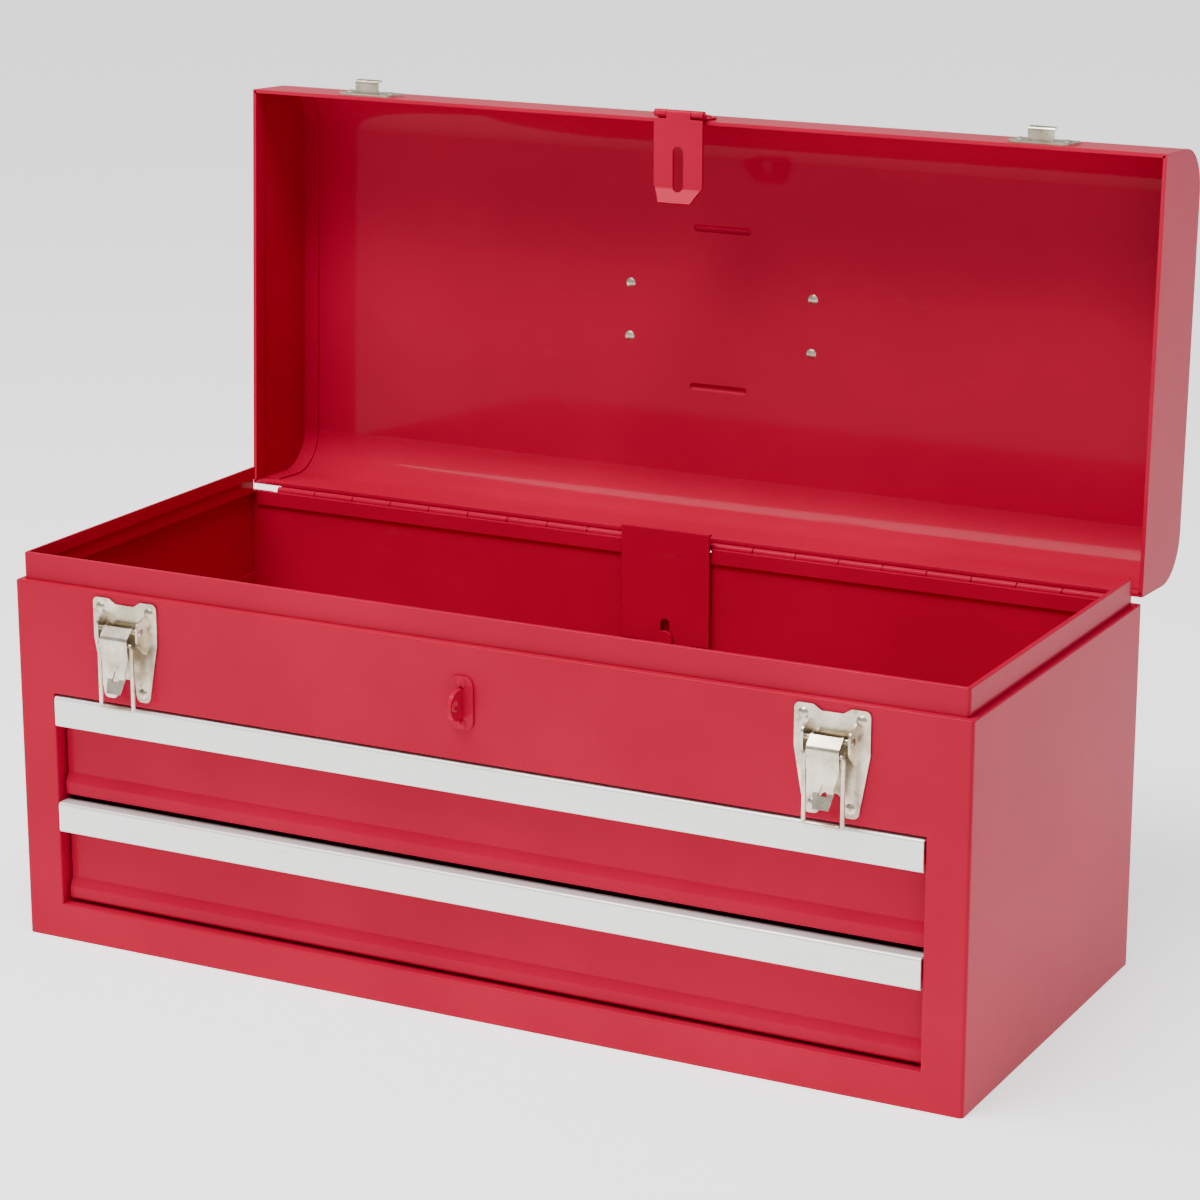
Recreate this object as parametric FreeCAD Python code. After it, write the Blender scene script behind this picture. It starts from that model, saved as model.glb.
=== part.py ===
import FreeCAD, Part
import math
import os

# Steel toolbox with a hinged lid, a fixed till and two drawers, in millimetres.
# X runs from left to right, Y from the front to the back and Z up. The origin is the centre of
# the bottom. The lid group is drawn shut and then swung open, which is how the box is stored.

Vector = FreeCAD.Vector
X_AXIS = Vector(1, 0, 0)
Y_AXIS = Vector(0, 1, 0)
Z_AXIS = Vector(0, 0, 1)

# Case
CASE_WIDTH = 524.0
CASE_DEPTH = 221.0
CASE_HEIGHT = 191.0
SHEET = 1.0
CORNER_RADIUS = 2.0
EDGE_RADIUS = 0.9
LIP_INSET = 3.4
LIP_HEIGHT = 14.0
LIP_REAR_GAP = 5.0
LIP_HEM = 7.0
BACK_HEM = 8.0
REAR_RETURN = 14.0
PAN_FLANGE = 9.0

# Drawer opening in the case front
OPENING_HALF_WIDTH = 240.5
SILL_HEIGHT = 19.0
DRAWER_BAY = 57.0
JAMB_DEPTH = 11.0
DRAWER_NAMES = ("lower", "upper")

# Drawers
DRAWER_GAP = 1.2
SIDE_GAP = 1.5
PANEL_RECESS = 7.5
LEDGE_RECESS = 5.0
LEDGE_TOP = 13.5
LEDGE_EDGE = 8.5
PAN_BOTTOM = 2.5
PAN_HEIGHT = 45.5
PAN_HALF_WIDTH = 229.5
PAN_REAR_SPACE = 20.0
RAIL_WIDTH = 8.0
RAIL_GAP = 0.5
DRAWER_TRAVEL = CASE_DEPTH - 71.0
STOP_LENGTH = 4.0
STOP_DEPTH = 1.5
DIMPLE_LENGTH = 6.0
RUNNER_LIP = 10.0
RUNNER_FLANGE = 12.0
RUNNER_REAR_SPACE = 14.0
TRIM_PROUD = 0.8
TRIM_HEIGHT = 16.0
TRIM_CURL = 3.4
TRIM_BACK = 5.0
TRIM_SHEET = 1.0
TRIM_BEND = 0.6

# Lid
LID_GAP = 0.6
LID_DEPTH = 54.0
LID_RADIUS = 24.0
LID_HEM = 8.0
LID_FLANGE = 9.0
LID_OPEN_DEG = 92.5
BEAD_SPREAD = 43.0
BEAD_HALF_LENGTH = 16.0
BEAD_RADIUS = 2.6
BEAD_RISE = 1.2
BEAD_AHEAD = 4.5

# Piano hinge
HINGE_LEAF = 0.9
HINGE_BARREL = 2.2
HINGE_PIN = 1.15
RUNNING_GAP = 0.05
HINGE_STAND_OFF = 0.25
HINGE_KNUCKLES = 20
HINGE_KNUCKLE_GAP = 0.4
HINGE_END_SPACE = 17.0
HINGE_LEAF_HEIGHT = 13.0

# Draw latches
LATCH_OFFSET = 194.0
LATCH_SHEET = 1.2
LATCH_TOP_GAP = 2.5
LATCH_LENGTH = 52.0
LATCH_HEAD_HALF = 19.0
LATCH_FOOT_HALF = 13.5
LATCH_HEAD_LENGTH = 21.0
LATCH_HEAD_ROUND = 2.8
LATCH_HORN_HALF = 9.5
LATCH_DIP_HALF = 5.5
LATCH_DIP = 2.6
LATCH_DIP_ROUND = 2.0
LATCH_WAIST_ROUND = 6.0
LATCH_FOOT_WIDTH = 7.5
LATCH_FOOT_ROUND = 3.0
LATCH_ARCH_HALF = 5.0
LATCH_ARCH = 11.0
EAR_INSIDE = 11.2
EAR_REACH = 8.6
EAR_ABOVE = 4.5
EAR_BELOW = 5.5
EAR_ROOT_ABOVE = 8.0
EAR_ROOT_BELOW = 12.0
EAR_ROUND = 3.0
LEVER_AXIS_DROP = 17.0
LEVER_AXIS_OUT = 5.0
LEVER_PIN = 1.5
LEVER_HALF = 8.2
LEVER_SHEET = 1.0
LEVER_FACE_OUT = 2.2
LEVER_CREST = 2.2
CHEEK_ABOVE = 2.4
CHEEK_FRONT = 2.0
CHEEK_EYE = 2.9
CHEEK_EYE_ROUND = 2.6
CHEEK_EDGE_ROUND = 0.5
CHEEK_LOW = 6.0
CHEEK_LOW_OUT = 1.2
CHEEK_LOW_IN = 2.4
CHEEK_LOW_ROUND = 1.5
TONGUE_TOP = 3.0
TONGUE_BEND = 2.0
TONGUE_CURL = 1.6
TONGUE_CURL_AT = 24.0
TONGUE_TIP_AT = 31.0
TONGUE_TAPER_AT = 13.0
TONGUE_NARROW_AT = 21.0
TONGUE_NARROW_HALF = 5.6
TONGUE_TIP_HALF = 3.6
TONGUE_TIP_ROUND = 3.0
TONGUE_WINDOW = 5.0
WINDOW_TOP = 18.5
WINDOW_LOW = 25.5
WINDOW_ROUND = 0.6
LEVER_PIN_HEAD = 0.9
LEVER_PIN_HEAD_RISE = 1.0
BAIL_AXIS_DROP = 22.8
BAIL_AXIS_OUT = 10.0
BAIL_WIRE = 1.1
BAIL_LEG = 9.7
BAIL_BEND = 1.6
BAIL_STUB = 6.9
BAIL_FLOOR_GAP = 1.4
STRIKE_HALF = 17.0
STRIKE_BOTTOM = 3.0
STRIKE_TOP = 22.0
HOOK_HALF = 7.0
HOOK_REACH = 8.4
HOOK_LIP = 4.6
HOOK_HEIGHT = 7.6
HOOK_BEND = 0.8
STRIKE_ROUND = 4.0
STRIKE_RIVET_INSET = 4.5

# Rivets
RIVET_HEAD = 2.7
RIVET_RISE = 1.2
RIVET_SHANK = 1.4
RIVET_TAIL = 2.8
RIVET_TAIL_RISE = 0.8

# Hasp and staple
HASP_HALF = 14.0
HASP_SHEET = 1.2
HASP_BARREL = 2.0
HASP_PIN = 1.0
HASP_AXIS_OUT = 3.2
HASP_AXIS_DROP = 1.2
HASP_LENGTH = 47.0
HASP_BEND_AT = 38.5
HASP_LIP_DEG = 35.0
HASP_SLOT_HALF = 3.0
HASP_SLOT_TOP = 17.0
HASP_SLOT_BOTTOM = 40.5
HASP_KNUCKLE = 7.0
HASP_LEAF_HEIGHT = 15.0
HASP_BEND = 1.5
HASP_LEAF_RISE = 0.4
HASP_LEAF_ROUND = 3.0
HASP_RIVET_INSET = 4.5
HASP_RIVET_DROP = 3.6
HASP_PIN_END = 0.8
HASP_WEB = 1.0
HASP_RELIEF = 2.6
HASP_CORNER_IN = 6.0
HASP_CORNER_MID_IN = 3.5
HASP_CORNER_MID_UP = 4.0
HASP_CORNER_UP = 9.5
HASP_CORNER_ROUND = 2.0
STAPLE_DROP = 28.5
STAPLE_RADIUS = 7.5
STAPLE_CENTRE_OUT = 5.5
STAPLE_THICK = 2.4
STAPLE_EYE = 3.0
STAPLE_EYE_OUT = 9.0
STAPLE_PLATE_HALF = 6.5
STAPLE_PLATE_HEIGHT = 27.0
STAPLE_PLATE_ROUND = 5.0

# Carrying handle
BRACKET_OFFSET = 54.0
BRACKET_HALF = 8.0
BRACKET_HALF_LENGTH = 21.0
BRACKET_SHEET = 1.5
BRACKET_RIVET_SPREAD = 14.5
BRACKET_ROUND = 5.0
HANDLE_AXIS_UP = 6.5
HANDLE_WIRE = 3.5
HANDLE_PLAY = 0.1
HANDLE_ARM_X = 68.5
HANDLE_ARM = 43.0
HANDLE_BEND = 5.5
HANDLE_END_X = 42.0
GRIP_RADIUS = 8.0
GRIP_HALF = 50.0
GRIP_REST_GAP = 0.3
GRIP_END_ROUND = 2.5

# Drawer lock bar
LOCK_TRAVEL = 8.5
LOCK_TOP = 8.0
LOCK_HALF = 26.0
LOCK_STEM_HALF = 15.0
LOCK_STAND_OFF = 0.6
LOCK_TAB_REACH = 2.7
LOCK_NOTCH = 3.5
LOCK_SIDE_GAP = 0.3
LOCK_RIVET_DROP = 52.0
LOCK_LOW_RIVET = 80.0
LOCK_SHANK = 2.5
LOCK_HEAD = 5.0
LOCK_HEAD_THICK = 1.4
LOCK_SLOT_GAP = 0.1
LOCK_HEAD_GAP = 0.4
HOOK_TAB_HALF = 10.0
CATCH_HALF = 12.0
CATCH_HEIGHT = 30.0
CATCH_REACH = 9.0
CATCH_LIP = 5.0
HOOK_LIP_LENGTH = 4.5
HOOK_OVER = 0.5
HOOK_AHEAD = 3.0

# Derived places
HALF_WIDTH = CASE_WIDTH / 2
FRONT = -CASE_DEPTH / 2
BACK = CASE_DEPTH / 2
BACK_PANEL_REAR = BACK - SHEET
BACK_PANEL_FRONT = BACK - 2 * SHEET
OPENING_TOP = SILL_HEIGHT + DRAWER_BAY * len(DRAWER_NAMES)
TILL_FLOOR = OPENING_TOP + SHEET
LID_BOTTOM = CASE_HEIGHT + LID_GAP
LID_TOP = LID_BOTTOM + LID_DEPTH
LID_REAR = BACK_PANEL_REAR
LID_MIDDLE = (FRONT + LID_REAR) / 2
HINGE_Y = BACK_PANEL_REAR + HINGE_BARREL + HINGE_STAND_OFF
HINGE_Z = CASE_HEIGHT + LID_GAP / 2
PAN_REAR = BACK - PAN_REAR_SPACE
PAN_FRONT = FRONT + PANEL_RECESS + SHEET
BAR_REAR = BACK_PANEL_FRONT - SHEET - LOCK_STAND_OFF
BAR_FRONT = BAR_REAR - SHEET
SPLIT_DEPTH = 20.0
OVERSIZE = 10.0


def box(x_span, y_span, z_span):
    corner = Vector(x_span[0], y_span[0], z_span[0])
    return Part.makeBox(x_span[1] - x_span[0], y_span[1] - y_span[0], z_span[1] - z_span[0], corner)


def rod(start, end, radius):
    axis = Vector(*end) - Vector(*start)
    return Part.makeCylinder(radius, axis.Length, Vector(*start), axis)


def dome(base, direction, radius, height):
    """A low round head on a flat face."""
    sphere = (radius**2 + height**2) / (2 * height)
    start = math.degrees(math.asin((sphere - height) / sphere))
    centre = Vector(*base) - direction * (sphere - height)
    return Part.makeSphere(sphere, centre, direction, start, 90, 360)


def fuse(*shapes):
    joined = shapes[0].fuse(list(shapes[1:])) if len(shapes) > 1 else shapes[0]
    return joined.removeSplitter()


def cut(shape, *tools):
    return shape.cut(list(tools)).removeSplitter()


def mirrored(shape):
    """The same piece on the other side of the middle plane."""
    return shape.mirror(Vector(0, 0, 0), X_AXIS)


def rounded_path(points, radii):
    """Straight runs through the points, with an arc at each inner one whose radius isn't 0."""
    edges = []
    start = points[0]
    for before, corner, after, radius in zip(points, points[1:], points[2:], radii):
        arriving = (corner - before).normalize()
        leaving = (after - corner).normalize()
        half_turn = arriving.getAngle(leaving) / 2
        if radius == 0:
            edges.append(Part.LineSegment(start, corner).toShape())
            start = corner
            continue
        setback = radius * math.tan(half_turn)
        enter = corner - arriving * setback
        leave = corner + leaving * setback
        inward = (leaving - arriving).normalize()
        middle = corner + inward * (radius / math.cos(half_turn) - radius)
        if (enter - start).Length > 1e-6:
            edges.append(Part.LineSegment(start, enter).toShape())
        edges.append(Part.Arc(enter, middle, leave).toShape())
        start = leave
    edges.append(Part.LineSegment(start, points[-1]).toShape())
    return edges


def offset_points(points, normal, distance):
    """The path moved to its left, seen with the normal pointing at the eye."""
    lefts = []
    for start, end in zip(points, points[1:]):
        lefts.append(normal.cross((end - start).normalize()))
    moved = [points[0] + lefts[0] * distance]
    for point, one, other in zip(points[1:], lefts, lefts[1:]):
        moved.append(point + (one + other) * (distance / (1 + one.dot(other))))
    moved.append(points[-1] + lefts[-1] * distance)
    return moved


def bent_sheet(points, bend, span, axis=X_AXIS, thickness=SHEET):
    """A folded sheet: its right-hand face follows the points, across the axis, over the span."""
    if axis == X_AXIS:
        corners = [Vector(span[0], a, b) for a, b in points]
    elif axis == Y_AXIS:
        corners = [Vector(a, span[0], b) for a, b in points]
    else:
        corners = [Vector(a, b, span[0]) for a, b in points]
    near_radii = []
    far_radii = []
    for before, corner, after in zip(corners, corners[1:], corners[2:]):
        turns_left = (corner - before).cross(after - corner).dot(axis) > 0
        near_radii.append(bend + thickness if turns_left else bend)
        far_radii.append(bend if turns_left else bend + thickness)
    far = offset_points(corners, axis, thickness)
    outline = rounded_path(corners, near_radii)
    outline.append(Part.LineSegment(corners[-1], far[-1]).toShape())
    outline.extend(rounded_path(far[::-1], far_radii[::-1]))
    outline.append(Part.LineSegment(far[0], corners[0]).toShape())
    face = Part.Face(Part.Wire(Part.__sortEdges__(outline)))
    return face.extrude(axis * (span[1] - span[0]))


def plate(points, radii, span, axis=Y_AXIS):
    """A flat plate with a closed outline across the axis and a radius at each corner."""
    if axis == X_AXIS:
        corners = [Vector(span[0], a, b) for a, b in points]
    elif axis == Y_AXIS:
        corners = [Vector(a, span[0], b) for a, b in points]
    else:
        corners = [Vector(a, b, span[0]) for a, b in points]
    start = (corners[-1] + corners[0]) * 0.5
    loop = [start] + corners + [start]
    face = Part.Face(Part.Wire(Part.__sortEdges__(rounded_path(loop, radii))))
    return face.extrude(axis * (span[1] - span[0]))


def bent_wire(points, bend, radius):
    """Round wire along straight runs with one bend radius."""
    corners = [Vector(*point) for point in points]
    path = Part.Wire(rounded_path(corners, [bend] * (len(corners) - 2)))
    direction = (corners[1] - corners[0]).normalize()
    section = Part.Wire(Part.Circle(corners[0], direction, radius).toShape())
    return path.makePipeShell([section], True, True)


def rivet(point, outward, grip):
    """A round head on the outside, a shank through the grip and a formed tail behind it."""
    base = Vector(*point)
    inside = base - outward * grip
    head = dome(base, outward, RIVET_HEAD, RIVET_RISE)
    shank = Part.makeCylinder(RIVET_SHANK, grip, inside, outward)
    tail = dome(inside, outward * -1, RIVET_TAIL, RIVET_TAIL_RISE)
    return fuse(head, shank, tail)


def rivet_hole(point, outward):
    start = Vector(*point) - outward * OVERSIZE / 2
    return Part.makeCylinder(RIVET_SHANK, OVERSIZE, start, outward)


def opened(shape):
    """Swings a piece of the shut lid to the stored, open position."""
    return shape.rotated(Vector(0, HINGE_Y, HINGE_Z), X_AXIS, -LID_OPEN_DEG)


def save(shape, name):
    if not shape.isValid():
        raise ValueError(name + " is not a valid shape")
    if len(shape.Solids) == 1:
        shape = shape.Solids[0]
    else:
        shape = Part.makeCompound(shape.Solids)
    shape.exportStep("parts/" + name + ".step")


def wall_ring(inset, thickness, rear, z_span, outer_radius, inner_radius):
    """Front and side walls in one piece, open at the back."""
    outside = box(
        (inset - HALF_WIDTH, HALF_WIDTH - inset), (FRONT + inset, rear), z_span
    )
    outside = round_front_corners(outside, FRONT + inset, outer_radius)
    edge = inset + thickness
    inside = box((edge - HALF_WIDTH, HALF_WIDTH - edge), (FRONT + edge, rear + OVERSIZE), z_span)
    if inner_radius > 0:
        inside = round_front_corners(inside, FRONT + edge, inner_radius)
    return outside.cut(inside)


def round_front_corners(shape, front, radius):
    return round_edges(
        shape, radius, lambda edge: is_upright(edge) and edge.CenterOfMass.y < front + SHEET / 4
    )


def is_upright(edge):
    bounds = edge.BoundBox
    return bounds.ZLength > SHEET / 2 and bounds.XLength < 0.01 and bounds.YLength < 0.01


def round_edges(shape, radius, chosen):
    return shape.makeFillet(radius, [edge for edge in shape.Edges if chosen(edge)])


def latch_holes():
    """Rivet places on the case front, for the two latches and the staple."""
    places = []
    top = CASE_HEIGHT - LATCH_TOP_GAP
    for side in (-1, 1):
        for offset, drop in latch_rivet_places():
            places.append((side * LATCH_OFFSET + offset, FRONT, top - drop))
    return places


def latch_rivet_places():
    """Offset from the latch's middle and drop below its top, for each of its rivets."""
    head = LATCH_HEAD_HALF - 4.5
    foot = LATCH_FOOT_HALF - 4.0
    return [(-head, 5.0), (head, 5.0), (-foot, LATCH_LENGTH - 4.5), (foot, LATCH_LENGTH - 4.5)]


def staple_rivet_places():
    centre = CASE_HEIGHT - STAPLE_DROP
    offset = STAPLE_PLATE_HEIGHT / 2 - 3.2
    return [(0, FRONT, centre - offset), (0, FRONT, centre + offset)]


def case_wrap():
    """Front and sides as one bent sheet, with the shoulder, the lip and the drawer opening."""
    wall = wall_ring(0, SHEET, BACK, (0, CASE_HEIGHT), CORNER_RADIUS, CORNER_RADIUS - SHEET)
    step_width = LIP_INSET + SHEET
    shoulder_span = (CASE_HEIGHT - SHEET, CASE_HEIGHT)
    shoulder = wall_ring(0, step_width, BACK_PANEL_FRONT, shoulder_span, CORNER_RADIUS, 0)
    lip_top = CASE_HEIGHT + LIP_HEIGHT
    lip_rear = BACK - LIP_REAR_GAP
    lip_span = (CASE_HEIGHT - SHEET, lip_top)
    lip = wall_ring(LIP_INSET, SHEET, lip_rear, lip_span, CORNER_RADIUS, CORNER_RADIUS - SHEET)
    hem_span = (lip_top - LIP_HEM, lip_top)
    hem = wall_ring(LIP_INSET + SHEET, SHEET, lip_rear, hem_span, CORNER_RADIUS - SHEET, 0)
    wrap = fuse(wall, shoulder, lip, hem)
    wrap = round_edges(wrap, EDGE_RADIUS, lambda edge: is_shoulder_edge(edge) or is_lip_edge(edge))
    opening = box(
        (-OPENING_HALF_WIDTH, OPENING_HALF_WIDTH), (FRONT - OVERSIZE, FRONT + OVERSIZE),
        (SILL_HEIGHT, OPENING_TOP),
    )
    wrap = cut(wrap, opening)
    wrap = fuse(wrap, opening_frame())
    wrap = round_edges(wrap, EDGE_RADIUS, is_opening_edge)
    returns = []
    for side in (-1, 1):
        span = sorted((side * (HALF_WIDTH - REAR_RETURN), side * (HALF_WIDTH - SHEET)))
        returns.append(box(span, (BACK_PANEL_REAR, BACK), (0, CASE_HEIGHT)))
    wrap = fuse(wrap, *returns)
    holes = [rivet_hole(place, Y_AXIS * -1) for place in latch_holes() + staple_rivet_places()]
    return cut(wrap, *holes)


def opening_frame():
    """The edges of the opening, turned inwards."""
    outside = box(
        (-OPENING_HALF_WIDTH - SHEET, OPENING_HALF_WIDTH + SHEET),
        (FRONT, FRONT + JAMB_DEPTH),
        (SILL_HEIGHT - SHEET, OPENING_TOP + SHEET),
    )
    inside = box(
        (-OPENING_HALF_WIDTH, OPENING_HALF_WIDTH),
        (FRONT - OVERSIZE, FRONT + JAMB_DEPTH + OVERSIZE),
        (SILL_HEIGHT, OPENING_TOP),
    )
    return outside.cut(inside)


def is_opening_edge(edge):
    """The four outer edges of the drawer opening."""
    middle = edge.CenterOfMass
    bounds = edge.BoundBox
    if abs(middle.y - FRONT) > 0.01 or bounds.YLength > 0.01:
        return False
    on_side = abs(abs(middle.x) - OPENING_HALF_WIDTH) < 0.01 and bounds.ZLength > OVERSIZE
    on_height = min(abs(middle.z - SILL_HEIGHT), abs(middle.z - OPENING_TOP)) < 0.01
    return on_side or (on_height and abs(middle.x) < 1)


def is_shoulder_edge(edge):
    """The outer edge of the shoulder, corners included."""
    bounds = edge.BoundBox
    if bounds.ZLength > 0.01 or abs(bounds.ZMax - CASE_HEIGHT) > 0.01:
        return False
    middle = edge.CenterOfMass
    outside = max(abs(middle.x) - HALF_WIDTH, FRONT - middle.y)
    return outside > -SHEET and middle.y < BACK - LIP_REAR_GAP


def is_lip_edge(edge):
    """The outer top edge of the lip, corners included."""
    bounds = edge.BoundBox
    if bounds.ZLength > 0.01 or abs(bounds.ZMax - CASE_HEIGHT - LIP_HEIGHT) > 0.01:
        return False
    middle = edge.CenterOfMass
    outside = max(abs(middle.x) - HALF_WIDTH, FRONT - middle.y) + LIP_INSET
    return outside > -SHEET and middle.y < BACK - LIP_REAR_GAP - SHEET


def split_wrap(wrap):
    """Mitres the wrap at its two front corners: front, left side and right side."""
    corners = [
        Vector(-HALF_WIDTH - OVERSIZE, FRONT - OVERSIZE, -OVERSIZE),
        Vector(HALF_WIDTH + OVERSIZE, FRONT - OVERSIZE, -OVERSIZE),
        Vector(HALF_WIDTH - SPLIT_DEPTH, FRONT + SPLIT_DEPTH, -OVERSIZE),
        Vector(-HALF_WIDTH + SPLIT_DEPTH, FRONT + SPLIT_DEPTH, -OVERSIZE),
    ]
    wedge = Part.Face(Part.makePolygon(corners + corners[:1]))
    wedge = wedge.extrude(Z_AXIS * (CASE_HEIGHT + LIP_HEIGHT + 2 * OVERSIZE))
    save(wrap.common(wedge), "case_front")
    sides = sorted(wrap.cut(wedge).Solids, key=lambda solid: solid.CenterOfMass.x)
    save(sides[0], "case_left_side")
    save(sides[1], "case_right_side")


def case_back():
    """Back panel with a folded top edge, notched in the middle for the lock bar."""
    half = HALF_WIDTH - SHEET
    panel = box((-half, half), (BACK_PANEL_FRONT, BACK_PANEL_REAR), (0, CASE_HEIGHT))
    hem_half = HALF_WIDTH - LIP_INSET - 2 * SHEET
    hem = box(
        (-hem_half, hem_half),
        (BACK_PANEL_FRONT - SHEET, BACK_PANEL_FRONT),
        (CASE_HEIGHT - BACK_HEM, CASE_HEIGHT),
    )
    notch_half = LOCK_HALF + LOCK_SIDE_GAP
    notch = box(
        (-notch_half, notch_half), (BACK - OVERSIZE, BACK), (CASE_HEIGHT - LOCK_NOTCH, CASE_HEIGHT)
    )
    holes = [rod((0, BACK - OVERSIZE, z), (0, BACK, z), LOCK_SHANK / 2) for z in lock_rivet_heights()]
    save(cut(fuse(panel, hem), notch, *holes), "case_back")


def flanged_pan(z_bottom, y_span, ends_turned_up):
    """A flat floor between the side walls, with its sides and, if asked, its ends turned up."""
    half = HALF_WIDTH - SHEET
    floor = box((-half, half), y_span, (z_bottom, z_bottom + SHEET))
    z_span = (z_bottom, z_bottom + PAN_FLANGE)
    pieces = [floor]
    for side in (-1, 1):
        pieces.append(box(sorted((side * half, side * (half - SHEET))), y_span, z_span))
    if ends_turned_up:
        pieces.append(box((-half, half), (y_span[0], y_span[0] + SHEET), z_span))
        pieces.append(box((-half, half), (y_span[1] - SHEET, y_span[1]), z_span))
    inside = box((-half, half), (FRONT + SHEET, BACK), z_span)
    return fuse(*pieces).common(round_front_corners(inside, FRONT + SHEET, CORNER_RADIUS - SHEET))


def case_floors():
    inside = (FRONT + SHEET, BACK_PANEL_FRONT)
    save(flanged_pan(0, inside, True), "case_bottom")
    till = flanged_pan(TILL_FLOOR, inside, False)
    slot_half = LOCK_HALF + 2
    slot = box(
        (-slot_half, slot_half),
        (BAR_FRONT - LOCK_HEAD_THICK - 1, BACK),
        (TILL_FLOOR - 1, TILL_FLOOR + PAN_FLANGE + 1),
    )
    save(cut(till, slot), "till_floor")


def rail_top(bay_bottom):
    return bay_bottom + PAN_BOTTOM + PAN_HEIGHT


def runners():
    """A channel on each side wall for each drawer, with a stop dimple in its web."""
    web = PAN_HALF_WIDTH + RAIL_WIDTH + 2 * STOP_DEPTH - 1.0
    y_span = (FRONT + JAMB_DEPTH + 1, BACK - RUNNER_REAR_SPACE)
    dimple_rear = PAN_REAR - STOP_LENGTH - DRAWER_TRAVEL - RAIL_GAP
    wall = HALF_WIDTH - SHEET
    for number, name in enumerate(DRAWER_NAMES):
        top = rail_top(SILL_HEIGHT + DRAWER_BAY * number)
        upper = (top + RAIL_GAP, top + RAIL_GAP + SHEET)
        lower = (top - SHEET - RAIL_GAP - SHEET, top - SHEET - RAIL_GAP)
        inner = web - RUNNER_LIP
        runner = fuse(
            box((inner, wall - SHEET), y_span, upper),
            box((wall - SHEET, wall), y_span, (upper[1] - RUNNER_FLANGE, upper[1])),
            box((web, web + SHEET), y_span, (lower[0], upper[1])),
            box((inner, web + SHEET), y_span, lower),
            box((web - STOP_DEPTH, web), (dimple_rear - DIMPLE_LENGTH, dimple_rear), (lower[1], upper[0])),
        )
        save(runner, "runner_right_" + name)
        save(mirrored(runner), "runner_left_" + name)


def drawers():
    for number, name in enumerate(DRAWER_NAMES):
        bottom = SILL_HEIGHT + DRAWER_BAY * number
        save(drawer_pan(bottom), "drawer_pan_" + name)
        save(drawer_front(bottom), "drawer_front_" + name)
        save(drawer_trim(bottom), "drawer_trim_" + name)
        save(drawer_catch(bottom), "drawer_catch_" + name)


def drawer_pan(bottom):
    """An open tray whose side walls turn out at the top into the rails."""
    low = bottom + PAN_BOTTOM
    high = rail_top(bottom)
    tray = box((-PAN_HALF_WIDTH, PAN_HALF_WIDTH), (PAN_FRONT, PAN_REAR), (low, high))
    half = PAN_HALF_WIDTH - SHEET
    hollow = box((-half, half), (PAN_FRONT + SHEET, PAN_REAR - SHEET), (low + SHEET, high + 1))
    pieces = []
    for side in (-1, 1):
        edge = side * PAN_HALF_WIDTH
        rail_span = sorted((edge, edge + side * RAIL_WIDTH))
        pieces.append(box(rail_span, (PAN_FRONT, PAN_REAR), (high - SHEET, high)))
        stop_span = sorted((edge, edge + side * (RAIL_WIDTH + STOP_DEPTH)))
        pieces.append(box(stop_span, (PAN_REAR - STOP_LENGTH, PAN_REAR), (high - SHEET, high)))
    return fuse(tray.cut(hollow), *pieces)


def trim_top(bottom):
    return bottom + DRAWER_BAY - DRAWER_GAP


def drawer_front(bottom):
    """Front panel with a ledge pressed forward along its lower edge."""
    panel = FRONT + PANEL_RECESS
    ledge = FRONT + LEDGE_RECESS
    foot = bottom + PAN_BOTTOM - SHEET
    points = [
        (PAN_FRONT + PANEL_RECESS, foot),
        (ledge, foot),
        (ledge, bottom + LEDGE_EDGE),
        (panel, bottom + LEDGE_TOP),
        (panel, trim_top(bottom) - TRIM_SHEET - TRIM_BEND),
    ]
    half = OPENING_HALF_WIDTH - SIDE_GAP
    return bent_sheet(points[::-1], 0.8, (-half, half))


def drawer_trim(bottom):
    """Bright pull rail that hooks over the top edge of the panel."""
    top = trim_top(bottom)
    face = FRONT - TRIM_PROUD
    points = [
        (PAN_FRONT + TRIM_SHEET, top - TRIM_BACK),
        (PAN_FRONT + TRIM_SHEET, top),
        (face, top),
        (face, top - TRIM_HEIGHT),
        (face + TRIM_CURL, top - TRIM_HEIGHT),
    ]
    half = OPENING_HALF_WIDTH - SIDE_GAP / 2
    return bent_sheet(points, TRIM_BEND, (-half, half), thickness=TRIM_SHEET)


def drawer_catch(bottom):
    """Hook on the back of the drawer, which the lock bar holds."""
    level = bottom + CATCH_HEIGHT
    lip_rear = PAN_REAR + CATCH_REACH
    base = box((-CATCH_HALF, CATCH_HALF), (PAN_REAR, PAN_REAR + SHEET), (level - OVERSIZE, level + SHEET))
    arm = box((-CATCH_HALF, CATCH_HALF), (PAN_REAR, lip_rear), (level, level + SHEET))
    lip = box((-CATCH_HALF, CATCH_HALF), (lip_rear - SHEET, lip_rear), (level, level + SHEET + CATCH_LIP))
    return fuse(base, arm, lip)


def lock_rivet_heights():
    return (CASE_HEIGHT - LOCK_RIVET_DROP, LOCK_LOW_RIVET)


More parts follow.
